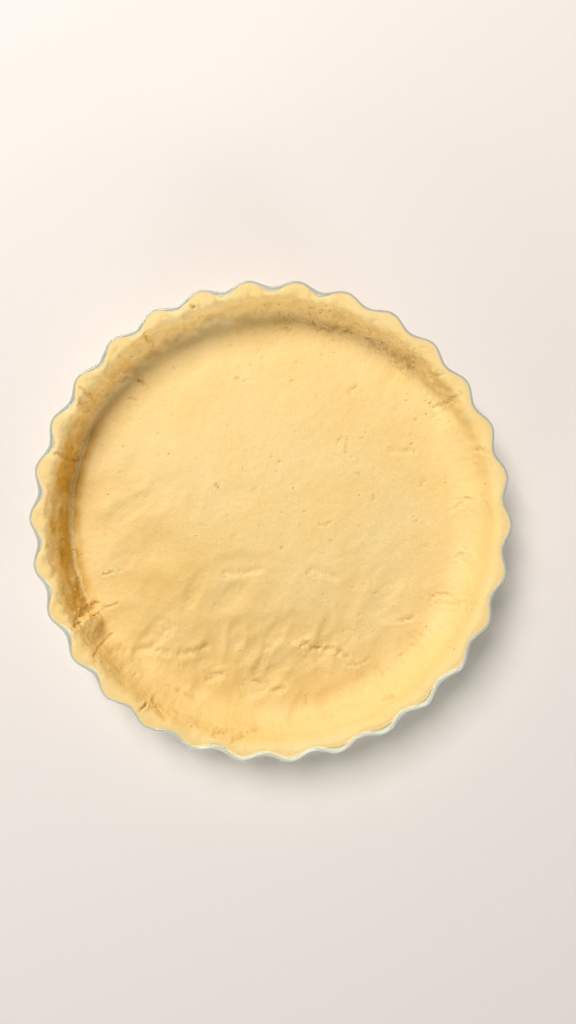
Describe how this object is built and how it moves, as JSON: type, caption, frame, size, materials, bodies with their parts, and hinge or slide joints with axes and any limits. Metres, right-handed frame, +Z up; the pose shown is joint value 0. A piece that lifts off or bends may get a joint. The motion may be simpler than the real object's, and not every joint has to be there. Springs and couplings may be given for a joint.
{
  "type": "tart pan",
  "caption": "Round fluted glass tart pan with sloping scalloped wall, lined with hand-pressed raw shortcrust pastry: a flat base and side lengths that can be lifted out together.",
  "frame": {"origin": "centre of the dish's foot, on the surface that it stands on", "axes": "+Z up out of the dish, +X through the crest of one flute"},
  "size_m": [0.28, 0.2784, 0.035],
  "materials": {
    "glass": "clear pressed glass, very slightly green",
    "pastry": "matte raw butter shortcrust, fine crumb, finger dents"
  },
  "bodies": {
    "dish": {"glass_dish": "glass"},
    "pastry": {"pastry_base": "pastry", "pastry_side_1": "pastry", "pastry_side_2": "pastry", "pastry_side_3": "pastry", "pastry_side_4": "pastry", "pastry_side_5": "pastry", "pastry_side_6": "pastry"}
  },
  "joints": [
    {"name": "pastry_lift", "type": "slide", "parent": "dish", "child": "pastry", "axis": [0, 0, 1], "range_m": [0, 0.045]}
  ]
}
